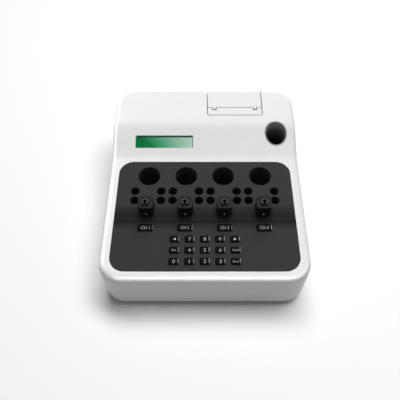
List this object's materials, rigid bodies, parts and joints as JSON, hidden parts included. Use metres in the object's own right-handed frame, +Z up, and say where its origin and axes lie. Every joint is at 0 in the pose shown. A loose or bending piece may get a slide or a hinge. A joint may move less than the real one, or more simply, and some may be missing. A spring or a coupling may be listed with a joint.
{
  "type": "bench analyzer",
  "caption": "Low white bench analyzer with hinged channel lids, incubation wells, keypad, display, bottle well and a hinged printer door.",
  "frame": {"origin": "on the table under the middle of the case", "axes": "+Z up, the user's side faces -Y, +X to the user's right"},
  "size_m": [0.26, 0.3, 0.1059],
  "materials": {
    "case_plastic": "fine matt white moulded plastic",
    "panel_plastic": "fine matt dark grey",
    "block_plastic": "matt near-black",
    "lid_plastic": "satin dark grey",
    "key_plastic": "satin black with white legends",
    "liner_plastic": "matt black",
    "window": "green display glass, darker to the left",
    "display": "green display glass on a board",
    "heater_metal": "black anodised",
    "head_metal": "machined",
    "steel": "plated",
    "led": "yellow diffused",
    "circuit_board": "green solder mask",
    "soft_rubber": "matt",
    "frame_plastic": "moulded",
    "gear_plastic": "natural nylon",
    "paper": "wound thermal paper",
    "rear_metal": "light grey paint",
    "connector_metal": "tin plated",
    "connector_plastic": "black"
  },
  "bodies": {
    "case": {"bottom_case": "case_plastic", "case_screws": "steel", "channel_block_1": "block_plastic", "channel_block_2": "block_plastic", "channel_block_3": "block_plastic", "channel_block_4": "block_plastic", "channel_leds": "led", "channel_optics": "circuit_board", "cover_hinge_pin": "steel", "feet": "soft_rubber", "heater_blocks": "heater_metal", "incubation_deck": "panel_plastic", "key_board": "circuit_board", "key_mat": "soft_rubber", "keypad_panel": "panel_plastic", "lcd_module": "display", "lcd_window": "window", "lid_hinge_pins": "steel", "main_board": "circuit_board", "power_jack": "connector_plastic", "printer_bezel": "case_plastic", "printer_frame": "frame_plastic", "rear_panel": "rear_metal", "serial_port": "connector_metal", "stepper_motor": "steel", "switch_housing": "connector_plastic", "thermal_head": "head_metal", "top_cover": "case_plastic", "well_liner": "liner_plastic"},
    "lid_1": {"channel_lid_1": "lid_plastic"},
    "lid_2": {"channel_lid_2": "lid_plastic"},
    "lid_3": {"channel_lid_3": "lid_plastic"},
    "lid_4": {"channel_lid_4": "lid_plastic"},
    "channel_key_1": {"channel_key_1": "key_plastic"},
    "channel_key_2": {"channel_key_2": "key_plastic"},
    "channel_key_3": {"channel_key_3": "key_plastic"},
    "channel_key_4": {"channel_key_4": "key_plastic"},
    "key_left": {"key_left": "key_plastic"},
    "key_7": {"key_7": "key_plastic"},
    "key_8": {"key_8": "key_plastic"},
    "key_9": {"key_9": "key_plastic"},
    "key_right": {"key_right": "key_plastic"},
    "key_esc": {"key_esc": "key_plastic"},
    "key_4": {"key_4": "key_plastic"},
    "key_5": {"key_5": "key_plastic"},
    "key_6": {"key_6": "key_plastic"},
    "key_mode": {"key_mode": "key_plastic"},
    "key_0": {"key_0": "key_plastic"},
    "key_1": {"key_1": "key_plastic"},
    "key_2": {"key_2": "key_plastic"},
    "key_3": {"key_3": "key_plastic"},
    "key_enter": {"key_enter": "key_plastic"},
    "printer_door": {"printer_cover": "case_plastic"},
    "platen": {"platen_roller": "soft_rubber", "platen_shaft": "steel", "platen_gear": "gear_plastic"},
    "pinion": {"motor_pinion": "gear_plastic"},
    "roll": {"paper_roll": "paper"},
    "rocker": {"power_rocker": "connector_plastic"}
  },
  "joints": [
    {"name": "lid_1_hinge", "type": "hinge", "parent": "case", "child": "lid_1", "pos_m": [-0.075, -0.04527, 0.09327], "axis": [-1, 0, 0], "range_deg": [0, 100]},
    {"name": "lid_2_hinge", "type": "hinge", "parent": "case", "child": "lid_2", "pos_m": [-0.025, -0.04527, 0.09327], "axis": [-1, 0, 0], "range_deg": [0, 100]},
    {"name": "lid_3_hinge", "type": "hinge", "parent": "case", "child": "lid_3", "pos_m": [0.025, -0.04527, 0.09327], "axis": [-1, 0, 0], "range_deg": [0, 100]},
    {"name": "lid_4_hinge", "type": "hinge", "parent": "case", "child": "lid_4", "pos_m": [0.075, -0.04527, 0.09327], "axis": [-1, 0, 0], "range_deg": [0, 100]},
    {"name": "channel_key_1_press", "type": "slide", "parent": "case", "child": "channel_key_1", "axis": [0, 0.0698, -0.9976], "range_m": [0, 0.001], "stiffness_N_per_m": 300, "springref_m": -0.0005},
    {"name": "channel_key_2_press", "type": "slide", "parent": "case", "child": "channel_key_2", "axis": [0, 0.0698, -0.9976], "range_m": [0, 0.001], "stiffness_N_per_m": 300, "springref_m": -0.0005},
    {"name": "channel_key_3_press", "type": "slide", "parent": "case", "child": "channel_key_3", "axis": [0, 0.0698, -0.9976], "range_m": [0, 0.001], "stiffness_N_per_m": 300, "springref_m": -0.0005},
    {"name": "channel_key_4_press", "type": "slide", "parent": "case", "child": "channel_key_4", "axis": [0, 0.0698, -0.9976], "range_m": [0, 0.001], "stiffness_N_per_m": 300, "springref_m": -0.0005},
    {"name": "key_left_press", "type": "slide", "parent": "case", "child": "key_left", "axis": [0, 0.0698, -0.9976], "range_m": [0, 0.001], "stiffness_N_per_m": 300, "springref_m": -0.0005},
    {"name": "key_7_press", "type": "slide", "parent": "case", "child": "key_7", "axis": [0, 0.0698, -0.9976], "range_m": [0, 0.001], "stiffness_N_per_m": 300, "springref_m": -0.0005},
    {"name": "key_8_press", "type": "slide", "parent": "case", "child": "key_8", "axis": [0, 0.0698, -0.9976], "range_m": [0, 0.001], "stiffness_N_per_m": 300, "springref_m": -0.0005},
    {"name": "key_9_press", "type": "slide", "parent": "case", "child": "key_9", "axis": [0, 0.0698, -0.9976], "range_m": [0, 0.001], "stiffness_N_per_m": 300, "springref_m": -0.0005},
    {"name": "key_right_press", "type": "slide", "parent": "case", "child": "key_right", "axis": [0, 0.0698, -0.9976], "range_m": [0, 0.001], "stiffness_N_per_m": 300, "springref_m": -0.0005},
    {"name": "key_esc_press", "type": "slide", "parent": "case", "child": "key_esc", "axis": [0, 0.0698, -0.9976], "range_m": [0, 0.001], "stiffness_N_per_m": 300, "springref_m": -0.0005},
    {"name": "key_4_press", "type": "slide", "parent": "case", "child": "key_4", "axis": [0, 0.0698, -0.9976], "range_m": [0, 0.001], "stiffness_N_per_m": 300, "springref_m": -0.0005},
    {"name": "key_5_press", "type": "slide", "parent": "case", "child": "key_5", "axis": [0, 0.0698, -0.9976], "range_m": [0, 0.001], "stiffness_N_per_m": 300, "springref_m": -0.0005},
    {"name": "key_6_press", "type": "slide", "parent": "case", "child": "key_6", "axis": [0, 0.0698, -0.9976], "range_m": [0, 0.001], "stiffness_N_per_m": 300, "springref_m": -0.0005},
    {"name": "key_mode_press", "type": "slide", "parent": "case", "child": "key_mode", "axis": [0, 0.0698, -0.9976], "range_m": [0, 0.001], "stiffness_N_per_m": 300, "springref_m": -0.0005},
    {"name": "key_0_press", "type": "slide", "parent": "case", "child": "key_0", "axis": [0, 0.0698, -0.9976], "range_m": [0, 0.001], "stiffness_N_per_m": 300, "springref_m": -0.0005},
    {"name": "key_1_press", "type": "slide", "parent": "case", "child": "key_1", "axis": [0, 0.0698, -0.9976], "range_m": [0, 0.001], "stiffness_N_per_m": 300, "springref_m": -0.0005},
    {"name": "key_2_press", "type": "slide", "parent": "case", "child": "key_2", "axis": [0, 0.0698, -0.9976], "range_m": [0, 0.001], "stiffness_N_per_m": 300, "springref_m": -0.0005},
    {"name": "key_3_press", "type": "slide", "parent": "case", "child": "key_3", "axis": [0, 0.0698, -0.9976], "range_m": [0, 0.001], "stiffness_N_per_m": 300, "springref_m": -0.0005},
    {"name": "key_enter_press", "type": "slide", "parent": "case", "child": "key_enter", "axis": [0, 0.0698, -0.9976], "range_m": [0, 0.001], "stiffness_N_per_m": 300, "springref_m": -0.0005},
    {"name": "printer_door_hinge", "type": "hinge", "parent": "case", "child": "printer_door", "pos_m": [0.0437, 0.141, 0.09687], "axis": [-1, 0, 0], "range_deg": [0, 95]},
    {"name": "platen_spin", "type": "hinge", "parent": "case", "child": "platen", "pos_m": [0.0437, 0.1162, 0.091], "axis": [1, 0, 0], "continuous": true},
    {"name": "pinion_spin", "type": "hinge", "parent": "case", "child": "pinion", "pos_m": [0.0798, 0.1162, 0.079], "axis": [1, 0, 0], "continuous": true},
    {"name": "roll_spin", "type": "hinge", "parent": "case", "child": "roll", "pos_m": [0.0437, 0.121, 0.063], "axis": [1, 0, 0], "continuous": true},
    {"name": "rocker_tilt", "type": "hinge", "parent": "case", "child": "rocker", "pos_m": [-0.05, 0.141, 0.044], "axis": [-1, 0, 0], "range_deg": [0, 16]}
  ],
  "couplings": [
    {"joint": "pinion_spin", "follows": "platen_spin", "ratio": -3}
  ]
}
